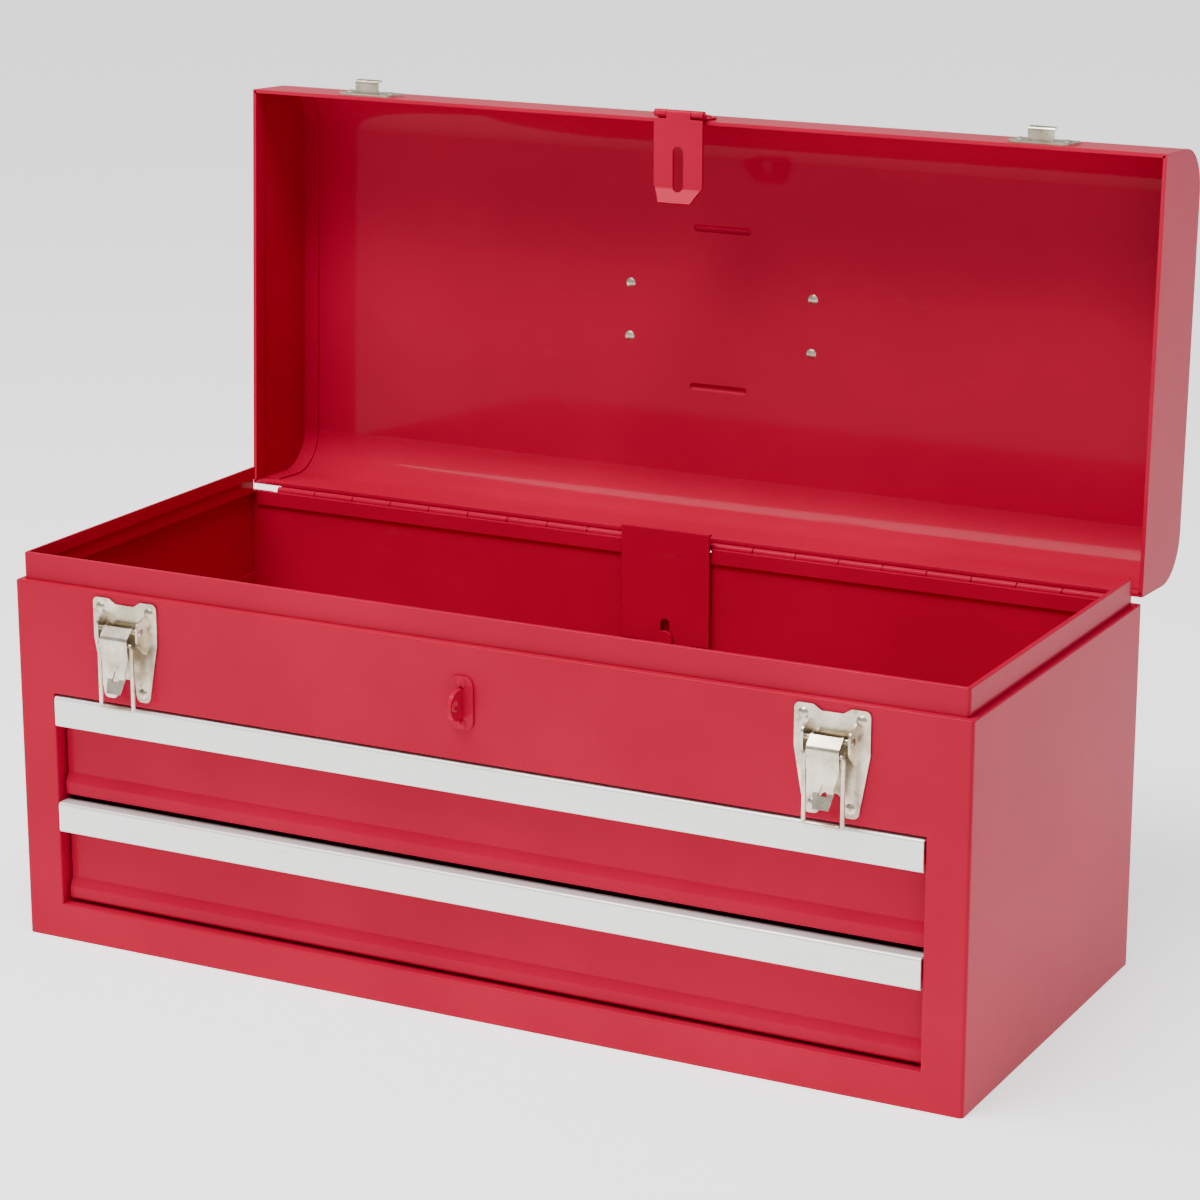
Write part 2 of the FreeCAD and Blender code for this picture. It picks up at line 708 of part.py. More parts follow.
def lock_bar():
    """Plate on the back panel that the lid presses down: its hooks then hold the drawers shut."""
    top = CASE_HEIGHT + LOCK_TOP
    wide = box((-LOCK_HALF, LOCK_HALF), (BAR_FRONT, BAR_REAR), (TILL_FLOOR + PAN_FLANGE - 6, top))
    stem_bottom = SILL_HEIGHT + CATCH_HEIGHT - 6
    stem = box((-LOCK_STEM_HALF, LOCK_STEM_HALF), (BAR_FRONT, BAR_REAR), (stem_bottom, top))
    tab = box((-LOCK_HALF, LOCK_HALF), (BAR_FRONT, BAR_REAR + LOCK_TAB_REACH - SHEET), (top - SHEET, top))
    pieces = [wide, stem, tab]
    for number in range(len(DRAWER_NAMES)):
        catch_top = SILL_HEIGHT + DRAWER_BAY * number + CATCH_HEIGHT + SHEET + CATCH_LIP
        level = catch_top + HOOK_OVER + LOCK_TRAVEL
        tip = PAN_REAR + CATCH_REACH - SHEET - HOOK_AHEAD
        half = (-HOOK_TAB_HALF, HOOK_TAB_HALF)
        pieces.append(box(half, (tip, BAR_FRONT), (level, level + SHEET)))
        pieces.append(box(half, (tip, tip + SHEET), (level - HOOK_LIP_LENGTH, level + SHEET)))
    slots = []
    half = LOCK_SHANK + LOCK_SLOT_GAP
    for height in lock_rivet_heights():
        span = (BAR_FRONT - 1, BAR_REAR + 1)
        slots.append(rod((0, span[0], height), (0, span[1], height), half))
        slots.append(rod((0, span[0], height + LOCK_TRAVEL), (0, span[1], height + LOCK_TRAVEL), half))
        slots.append(box((-half, half), span, (height, height + LOCK_TRAVEL)))
    save(cut(fuse(*pieces), *slots), "drawer_lock_bar")
    rivets = []
    for height in lock_rivet_heights():
        head_rear = BAR_FRONT - LOCK_HEAD_GAP
        head = rod((0, head_rear - LOCK_HEAD_THICK, height), (0, head_rear, height), LOCK_HEAD)
        shank = rod((0, head_rear, height), (0, BACK_PANEL_FRONT, height), LOCK_SHANK)
        tail = rod((0, BACK_PANEL_FRONT, height), (0, BACK_PANEL_REAR, height), LOCK_SHANK / 2)
        rivets.append(fuse(head, shank, tail))
    save(Part.makeCompound(rivets), "lock_bar_rivets")


def lid_profile(inset):
    """Outline of the shut lid across its length, with its two rounded upper corners."""
    return [
        (FRONT + inset, LID_BOTTOM),
        (FRONT + inset, LID_TOP - inset),
        (LID_REAR - inset, LID_TOP - inset),
        (LID_REAR - inset, LID_BOTTOM),
    ]


def lid_shell():
    """Front skirt, top and rear skirt in one sheet, with folded lower edges."""
    shell = bent_sheet(lid_profile(0)[::-1], LID_RADIUS - SHEET, (-HALF_WIDTH, HALF_WIDTH))
    half = HALF_WIDTH - 2 * SHEET
    hem_z = (LID_BOTTOM, LID_BOTTOM + LID_HEM)
    front_hem = box((-half, half), (FRONT + SHEET, FRONT + 2 * SHEET), hem_z)
    rear_hem = box((-half, half), (LID_REAR - 2 * SHEET, LID_REAR - SHEET), hem_z)
    beads = []
    hollows = []
    for side in (-1, 1):
        y = LID_MIDDLE - BEAD_AHEAD + side * BEAD_SPREAD
        beads.append(bead(y, LID_TOP, BEAD_HALF_LENGTH, BEAD_RADIUS))
        hollows.append(bead(y, LID_TOP - SHEET, BEAD_HALF_LENGTH - SHEET, BEAD_RADIUS - SHEET / 2))
    shell = cut(fuse(shell, front_hem, rear_hem, *beads), *hollows)
    holes = [rivet_hole((x, y, LID_TOP), Z_AXIS) for x, y in bracket_rivet_places()]
    holes += [rivet_hole(place, Y_AXIS * -1) for place in strike_rivet_places() + hasp_rivet_places()]
    return cut(shell, *holes)


def bead(y, level, half_length, radius):
    """A short ridge with round ends along X, cut off flat one sheet below its level."""
    depth = radius - BEAD_RISE
    ridge = rod((-half_length, y, level - depth), (half_length, y, level - depth), radius)
    ends = [Part.makeSphere(radius, Vector(side * half_length, y, level - depth)) for side in (-1, 1)]
    below = box(
        (-half_length - OVERSIZE, half_length + OVERSIZE), (y - radius, y + radius),
        (level - SHEET - OVERSIZE, level - SHEET),
    )
    return cut(fuse(ridge, *ends), below)


def lid_end():
    """Flat end panel of the lid, with a flange inside the shell and a folded lower edge."""
    outer = LID_RADIUS - SHEET
    outline = lid_profile(SHEET)
    panel = plate(outline, [0, outer, outer, 0], (HALF_WIDTH - SHEET, HALF_WIDTH), X_AXIS)
    flange_solid = plate(
        outline, [0, outer, outer, 0], (HALF_WIDTH - SHEET - LID_FLANGE, HALF_WIDTH - SHEET), X_AXIS
    )
    flange_hollow = plate(
        lid_profile(2 * SHEET),
        [0, outer - SHEET, outer - SHEET, 0],
        (HALF_WIDTH - SHEET - LID_FLANGE, HALF_WIDTH - SHEET),
        X_AXIS,
    )
    below = box(
        (0, HALF_WIDTH), (FRONT - 1, BACK + 1), (LID_BOTTOM - 1, LID_BOTTOM + LID_HEM + 2)
    )
    flange = cut(flange_solid, flange_hollow, below)
    hem = box(
        (HALF_WIDTH - 2 * SHEET, HALF_WIDTH - SHEET),
        (FRONT + 2 * SHEET, LID_REAR - 2 * SHEET),
        (LID_BOTTOM, LID_BOTTOM + LID_HEM),
    )
    return fuse(panel, flange, hem)


def lid():
    save(opened(lid_shell()), "lid_shell")
    end = lid_end()
    save(opened(end), "lid_right_end")
    save(opened(mirrored(end)), "lid_left_end")


def knuckle_spans():
    length = 2 * (HALF_WIDTH - HINGE_END_SPACE)
    pitch = length / HINGE_KNUCKLES
    start = -length / 2
    spans = []
    for number in range(HINGE_KNUCKLES):
        low = start + number * pitch
        spans.append((low + HINGE_KNUCKLE_GAP / 2, low + pitch - HINGE_KNUCKLE_GAP / 2))
    return spans


def hinge_leaf(spans, direction):
    """One leaf: a strip against the panel and every second knuckle of the barrel."""
    half = HALF_WIDTH - HINGE_END_SPACE
    clear = HINGE_BARREL + HINGE_KNUCKLE_GAP
    z_span = sorted((HINGE_Z + direction * clear, HINGE_Z + direction * HINGE_LEAF_HEIGHT))
    y_span = (BACK_PANEL_REAR, BACK_PANEL_REAR + HINGE_LEAF)
    pieces = [box((-half, half), y_span, z_span)]
    for span in spans:
        neck_z = sorted((HINGE_Z, HINGE_Z + direction * (clear + 1)))
        neck_y = (HINGE_Y - HINGE_BARREL, BACK_PANEL_REAR + HINGE_LEAF)
        pieces.append(box(span, neck_y, neck_z))
        pieces.append(rod((span[0], HINGE_Y, HINGE_Z), (span[1], HINGE_Y, HINGE_Z), HINGE_BARREL))
    leaf = fuse(*pieces)
    bore = rod((-half, HINGE_Y, HINGE_Z), (half, HINGE_Y, HINGE_Z), HINGE_PIN + RUNNING_GAP)
    return cut(leaf, bore)


def piano_hinge():
    spans = knuckle_spans()
    save(hinge_leaf(spans[0::2], -1), "hinge_leaf_case")
    save(opened(hinge_leaf(spans[1::2], 1)), "hinge_leaf_lid")
    end = spans[-1][1]
    save(rod((-end, HINGE_Y, HINGE_Z), (end, HINGE_Y, HINGE_Z), HINGE_PIN), "hinge_pin")


def latch_base():
    """Stamped base with a wide head, two feet and a pair of ears for the lever."""
    top = CASE_HEIGHT - LATCH_TOP_GAP
    foot = top - LATCH_LENGTH
    taper = top - LATCH_HEAD_LENGTH
    arch = foot + LATCH_ARCH
    right = [
        (LATCH_DIP_HALF, top - LATCH_DIP),
        (LATCH_HORN_HALF, top),
        (LATCH_HEAD_HALF, top),
        (LATCH_HEAD_HALF, taper),
        (LATCH_FOOT_HALF, foot),
        (LATCH_FOOT_HALF - LATCH_FOOT_WIDTH, foot),
        (LATCH_ARCH_HALF, arch),
    ]
    left = [(-x, z) for x, z in right[::-1]]
    radii = [LATCH_DIP_ROUND] * 2 + [LATCH_HEAD_ROUND, LATCH_WAIST_ROUND] + [LATCH_FOOT_ROUND] * 3
    base = plate(right + left, radii + radii[::-1], (FRONT - LATCH_SHEET, FRONT))
    ears = []
    axis_z = CASE_HEIGHT - LEVER_AXIS_DROP
    outline = [
        (FRONT - LATCH_SHEET, axis_z + EAR_ROOT_ABOVE),
        (FRONT - EAR_REACH, axis_z + EAR_ABOVE),
        (FRONT - EAR_REACH, axis_z - EAR_BELOW),
        (FRONT - LATCH_SHEET, axis_z - EAR_ROOT_BELOW),
    ]
    for side in (-1, 1):
        span = sorted((side * EAR_INSIDE, side * (EAR_INSIDE + LATCH_SHEET)))
        ears.append(plate(outline, [0, EAR_ROUND, EAR_ROUND, 0], span, X_AXIS))
    axis_y = FRONT - LEVER_AXIS_OUT
    bore = rod((-LATCH_HEAD_HALF, axis_y, axis_z), (LATCH_HEAD_HALF, axis_y, axis_z), LEVER_PIN)
    holes = [
        rivet_hole((x, FRONT, top - drop), Y_AXIS * -1) for x, drop in latch_rivet_places()
    ]
    return cut(fuse(base, *ears), bore, *holes)


def latch_lever():
    """Folded lever: two cheeks on the pin and a tongue that curls out at its tip."""
    axis = (FRONT - LEVER_AXIS_OUT, CASE_HEIGHT - LEVER_AXIS_DROP)
    pivot = (FRONT - BAIL_AXIS_OUT, CASE_HEIGHT - BAIL_AXIS_DROP)
    face = pivot[0] - LEVER_FACE_OUT
    tongue = bent_sheet(
        [
            (axis[0] - LEVER_CREST, axis[1] + LEVER_CREST),
            (face, pivot[1] + TONGUE_TOP),
            (face + TONGUE_CURL, axis[1] - TONGUE_CURL_AT),
            (face - TONGUE_CURL, axis[1] - TONGUE_TIP_AT),
        ],
        TONGUE_BEND,
        (-LEVER_HALF, LEVER_HALF),
        thickness=LEVER_SHEET,
    )
    across = (face - OVERSIZE, FRONT)
    beyond = LEVER_HALF + 1
    below = axis[1] - TONGUE_TIP_AT - 2
    side_cuts = []
    for side in (-1, 1):
        outline = [
            (side * beyond, axis[1] - TONGUE_TAPER_AT),
            (side * beyond, below),
            (side * TONGUE_TIP_HALF, below),
            (side * TONGUE_NARROW_HALF, axis[1] - TONGUE_NARROW_AT),
            (side * LEVER_HALF, axis[1] - TONGUE_TAPER_AT),
        ]
        side_cuts.append(plate(outline, [0, 0, 0, TONGUE_TIP_ROUND, 0], across))
    window = [
        (-TONGUE_WINDOW / 2, axis[1] - WINDOW_LOW),
        (TONGUE_WINDOW / 2, axis[1] - WINDOW_LOW),
        (0, axis[1] - WINDOW_TOP),
    ]
    tongue = cut(tongue, plate(window, [WINDOW_ROUND] * 3, across), *side_cuts)
    cheek_outline = [
        (axis[0] + CHEEK_EYE, axis[1] + CHEEK_EYE),
        (axis[0] - CHEEK_FRONT, axis[1] + CHEEK_ABOVE),
        (face + CHEEK_LOW_OUT / 2, pivot[1] + TONGUE_TOP),
        (face + CHEEK_LOW_OUT, pivot[1] - CHEEK_LOW),
        (pivot[0] + CHEEK_LOW_IN, pivot[1] - CHEEK_LOW),
        (axis[0] + CHEEK_EYE, axis[1] - CHEEK_EYE),
    ]
    rounds = [CHEEK_EYE_ROUND] + [CHEEK_EDGE_ROUND] * 3 + [CHEEK_LOW_ROUND, CHEEK_EYE_ROUND]
    cheeks = []
    for side in (-1, 1):
        span = sorted((side * (LEVER_HALF - LEVER_SHEET), side * LEVER_HALF))
        cheeks.append(plate(cheek_outline, rounds, span, X_AXIS))
    bore = rod((-beyond, *axis), (beyond, *axis), LEVER_PIN + RUNNING_GAP)
    sockets = rod((-beyond, *pivot), (beyond, *pivot), BAIL_WIRE + RUNNING_GAP)
    return cut(fuse(tongue, *cheeks), bore, sockets)


def latch_bail():
    """Wire loop sprung into the lever's cheeks."""
    y = FRONT - BAIL_AXIS_OUT
    top = CASE_HEIGHT - BAIL_AXIS_DROP
    low = trim_top(SILL_HEIGHT + DRAWER_BAY) + BAIL_FLOOR_GAP + BAIL_WIRE
    points = [
        (-BAIL_STUB, y, top),
        (-BAIL_LEG, y, top),
        (-BAIL_LEG, y, low),
        (BAIL_LEG, y, low),
        (BAIL_LEG, y, top),
        (BAIL_STUB, y, top),
    ]
    return bent_wire(points, BAIL_BEND, BAIL_WIRE)


def latch_strike():
    """Plate on the lid's front skirt with a hook pressed out of it."""
    low = LID_BOTTOM + STRIKE_BOTTOM
    high = LID_BOTTOM + STRIKE_TOP
    outline = [(-STRIKE_HALF, low), (STRIKE_HALF, low), (STRIKE_HALF, high), (-STRIKE_HALF, high)]
    base = plate(outline, [STRIKE_ROUND] * 4, (FRONT - LATCH_SHEET, FRONT))
    level = LID_BOTTOM + HOOK_HEIGHT
    hook = bent_sheet(
        [
            (FRONT - LATCH_SHEET / 2, level),
            (FRONT - HOOK_REACH, level),
            (FRONT - HOOK_REACH, level + HOOK_LIP),
        ][::-1],
        HOOK_BEND,
        (-HOOK_HALF, HOOK_HALF),
        thickness=LATCH_SHEET,
    )
    holes = [rivet_hole((x, FRONT, z), Y_AXIS * -1) for x, z in strike_rivet_offsets()]
    return cut(fuse(base, hook), *holes)


def strike_rivet_offsets():
    height = LID_BOTTOM + (STRIKE_BOTTOM + STRIKE_TOP) / 2
    half = STRIKE_HALF - STRIKE_RIVET_INSET
    return [(-half, height), (half, height)]


def strike_rivet_places():
    places = []
    for side in (-1, 1):
        for x, z in strike_rivet_offsets():
            places.append((side * LATCH_OFFSET + x, FRONT, z))
    return places


def latches():
    """Both draw latches, each with its pin, rivets, lever and bail, and their strikes."""
    base = latch_base()
    lever = latch_lever()
    bail = latch_bail()
    strike = latch_strike()
    pin_half = EAR_INSIDE + LATCH_SHEET
    axis = (FRONT - LEVER_AXIS_OUT, CASE_HEIGHT - LEVER_AXIS_DROP)
    shank = rod((-pin_half, *axis), (pin_half, *axis), LEVER_PIN)
    heads = [
        dome((side * pin_half, *axis), X_AXIS * side, LEVER_PIN + LEVER_PIN_HEAD, LEVER_PIN_HEAD_RISE)
        for side in (-1, 1)
    ]
    pin = fuse(shank, *heads)
    for side, name in ((-1, "left"), (1, "right")):
        shift = Vector(side * LATCH_OFFSET, 0, 0)
        save(base.translated(shift), "latch_base_" + name)
        save(lever.translated(shift), "latch_lever_" + name)
        save(bail.translated(shift), "latch_bail_" + name)
        save(pin.translated(shift), "latch_pin_" + name)
        save(opened(strike.translated(shift)), "latch_strike_" + name)
        top = CASE_HEIGHT - LATCH_TOP_GAP
        rivets = []
        for x, drop in latch_rivet_places():
            point = (side * LATCH_OFFSET + x, FRONT - LATCH_SHEET, top - drop)
            rivets.append(rivet(point, Y_AXIS * -1, LATCH_SHEET + SHEET))
        save(Part.makeCompound(rivets), "latch_rivets_" + name)
    strike_rivets = []
    for x, y, z in strike_rivet_places():
        strike_rivets.append(opened(rivet((x, y - LATCH_SHEET, z), Y_AXIS * -1, LATCH_SHEET + SHEET)))
    save(Part.makeCompound(strike_rivets), "strike_rivets")


def hasp_rivet_places():
    height = LID_BOTTOM + HASP_LEAF_HEIGHT - HASP_RIVET_DROP
    half = HASP_HALF - HASP_RIVET_INSET
    return [(-half, FRONT, height), (half, FRONT, height)]


def hasp():
    """Hinged hasp on the lid's front skirt: a fixed leaf, a pin and the slotted plate."""
    axis = (FRONT - HASP_AXIS_OUT, CASE_HEIGHT - HASP_AXIS_DROP)
    gap = HINGE_KNUCKLE_GAP / 2
    low = LID_BOTTOM + HASP_LEAF_RISE
    web = low + HASP_WEB
    leaf_z = (low, LID_BOTTOM + HASP_LEAF_HEIGHT)
    leaf = box((-HASP_HALF, HASP_HALF), (FRONT - HASP_SHEET, FRONT), leaf_z)
    leaf = round_edges(
        leaf, HASP_LEAF_ROUND,
        lambda edge: edge.BoundBox.YLength > 1 and edge.BoundBox.ZLength < 0.01
        and edge.BoundBox.XLength < 0.01 and edge.CenterOfMass.z > LID_BOTTOM + 1,
    )
    bore = rod((-HASP_HALF - 1, *axis), (HASP_HALF + 1, *axis), HASP_PIN + RUNNING_GAP)
    knuckles = []
    for side in (-1, 1):
        span = sorted((side * (HASP_KNUCKLE + gap), side * HASP_HALF))
        knuckles.append(rod((span[0], *axis), (span[1], *axis), HASP_BARREL))
        knuckles.append(box(span, (axis[0], FRONT - HASP_SHEET / 2), (low, web)))
        knuckles.append(box(span, (axis[0], axis[0] + HASP_SHEET), (axis[1] + HASP_SHEET, web)))
    holes = [rivet_hole(place, Y_AXIS * -1) for place in hasp_rivet_places()]
    save(opened(cut(fuse(leaf, *knuckles), bore, *holes)), "hasp_leaf")
    end = HASP_HALF + HASP_PIN_END
    save(opened(rod((-end, *axis), (end, *axis), HASP_PIN)), "hasp_pin")
    rivets = []
    for x, y, z in hasp_rivet_places():
        rivets.append(opened(rivet((x, y - HASP_SHEET, z), Y_AXIS * -1, HASP_SHEET + SHEET)))
    save(Part.makeCompound(rivets), "hasp_rivets")
    save(hasp_plate(), "hasp_plate")


def hasp_axis_open():
    """Where the hasp's pin is when the lid stands open."""
    shut = Part.Vertex(0, FRONT - HASP_AXIS_OUT, CASE_HEIGHT - HASP_AXIS_DROP)
    return opened(shut).Point


def hasp_plate():
    """The plate hangs straight down from its pin while the lid is open."""
    pin = hasp_axis_open()
    face = pin.y - HASP_BARREL
    lip = math.radians(HASP_LIP_DEG)
    lip_length = HASP_LENGTH - HASP_BEND_AT
    bottom = (
        face - lip_length * math.sin(lip),
        pin.z - HASP_BEND_AT - lip_length * math.cos(lip),
    )
    points = [(face, pin.z), (face, pin.z - HASP_BEND_AT), bottom]
    sheet = bent_sheet(points, HASP_BEND, (-HASP_HALF, HASP_HALF), thickness=HASP_SHEET)
    barrel = rod((-HASP_KNUCKLE, pin.y, pin.z), (HASP_KNUCKLE, pin.y, pin.z), HASP_BARREL)
    bore = rod((-HASP_HALF - 1, pin.y, pin.z), (HASP_HALF + 1, pin.y, pin.z), HASP_PIN + RUNNING_GAP)
    across = (face - OVERSIZE, pin.y + OVERSIZE)
    end = pin.z - HASP_LENGTH
    reliefs = []
    for side in (-1, 1):
        span = sorted((side * HASP_KNUCKLE, side * (HASP_HALF + 1)))
        reliefs.append(box(span, across, (pin.z - HASP_RELIEF, pin.z + HASP_RELIEF)))
        corner = [
            (side * (HASP_HALF + 1), end - 1),
            (side * (HASP_HALF - HASP_CORNER_IN), end - 1),
            (side * (HASP_HALF - HASP_CORNER_MID_IN), end + HASP_CORNER_MID_UP),
            (side * HASP_HALF, end + HASP_CORNER_UP),
            (side * (HASP_HALF + 1), end + HASP_CORNER_UP),
        ]
        reliefs.append(plate(corner, [0, 0, HASP_CORNER_ROUND, 0, 0], across))
    half = HASP_SLOT_HALF
    top = pin.z - HASP_SLOT_TOP - half
    low = pin.z - HASP_SLOT_BOTTOM + half
    slot = fuse(
        rod((0, across[0], top), (0, across[1], top), half),
        rod((0, across[0], low), (0, across[1], low), half),
        box((-half, half), across, (low, top)),
    )
    return cut(fuse(sheet, barrel), bore, slot, *reliefs)


def staple():
    """Padlock eye: a plate on edge, on a base riveted to the case front."""
    centre_z = CASE_HEIGHT - STAPLE_DROP
    half_height = STAPLE_PLATE_HEIGHT / 2
    outline = [
        (-STAPLE_PLATE_HALF, centre_z - half_height),
        (STAPLE_PLATE_HALF, centre_z - half_height),
        (STAPLE_PLATE_HALF, centre_z + half_height),
        (-STAPLE_PLATE_HALF, centre_z + half_height),
    ]
    base = plate(outline, [STAPLE_PLATE_ROUND] * 4, (FRONT - LATCH_SHEET, FRONT))
    half = STAPLE_THICK / 2
    centre_y = FRONT - STAPLE_CENTRE_OUT
    ring = rod((-half, centre_y, centre_z), (half, centre_y, centre_z), STAPLE_RADIUS)
    root_z = (centre_z - STAPLE_RADIUS, centre_z + STAPLE_RADIUS)
    root = box((-half, half), (centre_y, FRONT - LATCH_SHEET / 2), root_z)
    beyond = box((-half - 1, half + 1), (FRONT - LATCH_SHEET / 2, BACK), (0, CASE_HEIGHT))
    eye_y = FRONT - STAPLE_EYE_OUT
    eye = rod((-OVERSIZE, eye_y, centre_z), (OVERSIZE, eye_y, centre_z), STAPLE_EYE)
    holes = [rivet_hole(place, Y_AXIS * -1) for place in staple_rivet_places()]
    save(cut(fuse(base, cut(fuse(ring, root), beyond)), eye, *holes), "staple")
    rivets = []
    for x, y, z in staple_rivet_places():
        rivets.append(rivet((x, y - LATCH_SHEET, z), Y_AXIS * -1, LATCH_SHEET + SHEET))
    save(Part.makeCompound(rivets), "staple_rivets")


def bracket_rivet_places():
    places = []
    for side in (-1, 1):
        for end in (-1, 1):
            places.append((side * BRACKET_OFFSET, LID_MIDDLE + end * BRACKET_RIVET_SPREAD))
    return places


def handle_bracket():
    """Strap over the end of the handle, riveted in front of it and behind it."""
    axis_z = LID_TOP + HANDLE_AXIS_UP
    inner = HANDLE_WIRE + HANDLE_PLAY
    outer = inner + BRACKET_SHEET
    span = (-BRACKET_HALF, BRACKET_HALF)
    base = box(
        span,
        (LID_MIDDLE - BRACKET_HALF_LENGTH, LID_MIDDLE + BRACKET_HALF_LENGTH),
        (LID_TOP, LID_TOP + BRACKET_SHEET),
    )
    base = round_edges(
        base, BRACKET_ROUND,
        lambda edge: edge.BoundBox.ZLength > 1 and edge.BoundBox.XLength < 0.01
        and edge.BoundBox.YLength < 0.01,
    )
    arch = rod((span[0], LID_MIDDLE, axis_z), (span[1], LID_MIDDLE, axis_z), outer)
    legs = box(span, (LID_MIDDLE - outer, LID_MIDDLE + outer), (LID_TOP, axis_z))
    tunnel = fuse(
        rod((span[0] - 1, LID_MIDDLE, axis_z), (span[1] + 1, LID_MIDDLE, axis_z), inner),
        box((span[0] - 1, span[1] + 1), (LID_MIDDLE - inner, LID_MIDDLE + inner), (LID_TOP - 1, axis_z)),
    )
    body = cut(fuse(base, arch, legs), tunnel)
    holes = [
        rivet_hole((0, LID_MIDDLE + end * BRACKET_RIVET_SPREAD, LID_TOP), Z_AXIS) for end in (-1, 1)
    ]
    return cut(body, *holes)


def handle_fold_deg():
    """How far the folded handle stands up from the lid, where its grip meets the rest beads."""
    lift = BEAD_RISE + GRIP_REST_GAP + GRIP_RADIUS - HANDLE_AXIS_UP
    return math.degrees(math.asin(lift / HANDLE_ARM))


def handle():
    bracket = handle_bracket()
    for side, name in ((-1, "left"), (1, "right")):
        save(opened(bracket.translated(Vector(side * BRACKET_OFFSET, 0, 0))), "handle_bracket_" + name)
    rivets = []
    for x, y in bracket_rivet_places():
        rivets.append(opened(rivet((x, y, LID_TOP + BRACKET_SHEET), Z_AXIS, BRACKET_SHEET + SHEET)))
    save(Part.makeCompound(rivets), "handle_rivets")
    axis = (LID_MIDDLE, LID_TOP + HANDLE_AXIS_UP)
    reach = axis[0] + HANDLE_ARM
    points = [
        (-HANDLE_END_X, axis[0], axis[1]),
        (-HANDLE_ARM_X, axis[0], axis[1]),
        (-HANDLE_ARM_X, reach, axis[1]),
        (HANDLE_ARM_X, reach, axis[1]),
        (HANDLE_ARM_X, axis[0], axis[1]),
        (HANDLE_END_X, axis[0], axis[1]),
    ]
    centre = Vector(0, axis[0], axis[1])
    fold = handle_fold_deg()
    bail = bent_wire(points, HANDLE_BEND, HANDLE_WIRE).rotated(centre, X_AXIS, fold)
    grip = rod((-GRIP_HALF, reach, axis[1]), (GRIP_HALF, reach, axis[1]), GRIP_RADIUS)
    grip = round_edges(
        grip, GRIP_END_ROUND,
        lambda edge: edge.Length > 2 * GRIP_RADIUS and edge.BoundBox.XLength < 0.01,
    )
    bore = rod((-GRIP_HALF - 1, reach, axis[1]), (GRIP_HALF + 1, reach, axis[1]), HANDLE_WIRE)
    grip = cut(grip, bore).rotated(centre, X_AXIS, fold)
    save(opened(bail), "handle_bail")
    save(opened(grip), "handle_grip")


def main():
    os.makedirs("parts", exist_ok=True)
    split_wrap(case_wrap())
    case_back()
    case_floors()
    runners()
    drawers()
    lock_bar()
    lid()
    piano_hinge()
    latches()
    hasp()
    staple()
    handle()


main()
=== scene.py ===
import math

import bmesh
import bpy
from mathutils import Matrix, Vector


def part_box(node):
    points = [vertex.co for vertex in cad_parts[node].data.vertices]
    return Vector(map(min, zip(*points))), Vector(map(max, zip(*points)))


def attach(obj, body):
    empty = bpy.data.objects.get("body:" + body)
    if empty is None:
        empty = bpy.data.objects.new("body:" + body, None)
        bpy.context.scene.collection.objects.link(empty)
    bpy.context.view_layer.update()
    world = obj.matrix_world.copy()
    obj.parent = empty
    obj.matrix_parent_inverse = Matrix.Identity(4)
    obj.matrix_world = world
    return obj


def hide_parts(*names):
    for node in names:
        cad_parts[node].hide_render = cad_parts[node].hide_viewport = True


# Finishes, studio and details for a steel toolbox with a hinged lid, a tray and drawers.
# Lengths are in metres. X runs left to right, Y front to back and Z up.

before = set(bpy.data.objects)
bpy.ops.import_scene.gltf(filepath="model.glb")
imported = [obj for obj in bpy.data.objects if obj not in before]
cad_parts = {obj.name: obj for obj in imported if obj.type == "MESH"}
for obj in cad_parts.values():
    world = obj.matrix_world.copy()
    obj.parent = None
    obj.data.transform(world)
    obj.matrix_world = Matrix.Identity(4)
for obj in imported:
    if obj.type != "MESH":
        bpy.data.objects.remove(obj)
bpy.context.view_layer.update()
GRIP_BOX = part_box("handle_grip")
GRIP_CENTRE = (GRIP_BOX[0] + GRIP_BOX[1]) / 2
GRIP_LENGTH = GRIP_BOX[1].x - GRIP_BOX[0].x
GRIP_RADIUS = (GRIP_BOX[1].y - GRIP_BOX[0].y) / 2

# The grip's rounded ends, its bore and how much of its length the rings take
GRIP_BORE = 0.0035
GRIP_SKIN = 0.0003
GRIP_CREST_DEPTH = 0.0009
GRIP_SHOULDER_DEPTH = 0.0022
GRIP_END_LENGTH = 0.0006
GRIP_PLAIN_ENDS = 0.008
RING_SHARE = 0.94
GRIP_STEPS = 28
GRIP_SIDES = 56
RING_SIDES = 48
RING_PROFILE_SIDES = 12

# The studio: where each softbox stands, its width and depth, and the extent of the floor
KEY_PLACE = (-0.5, -0.7, 2.1)
KEY_SIZE = (1.5, 0.9)
TOP_PLACE = (0.1, -0.4, 1.7)
TOP_AIM = (0.0, 0.1, 0.15)
TOP_SIZE = (0.7, 0.5)
FILL_PLACE = (1.3, -2.3, 1.3)
FILL_SIZE = (1.2, 1.2)
FLOOR_REACH = 9.0
FLOOR_GLOW = 1.1
SENSOR_WIDTH = 36.0
WHITE = (1.0, 1.0, 1.0, 1.0)

bl_info = {
    "name": "Steel toolbox",
    "version": (1, 0, 0),
    "blender": (4, 5, 0),
    "location": "View3D > Sidebar > Toolbox",
    "description": "Enamel, bright metal and studio for a steel toolbox with tray and drawers",
    "category": "Object",
}

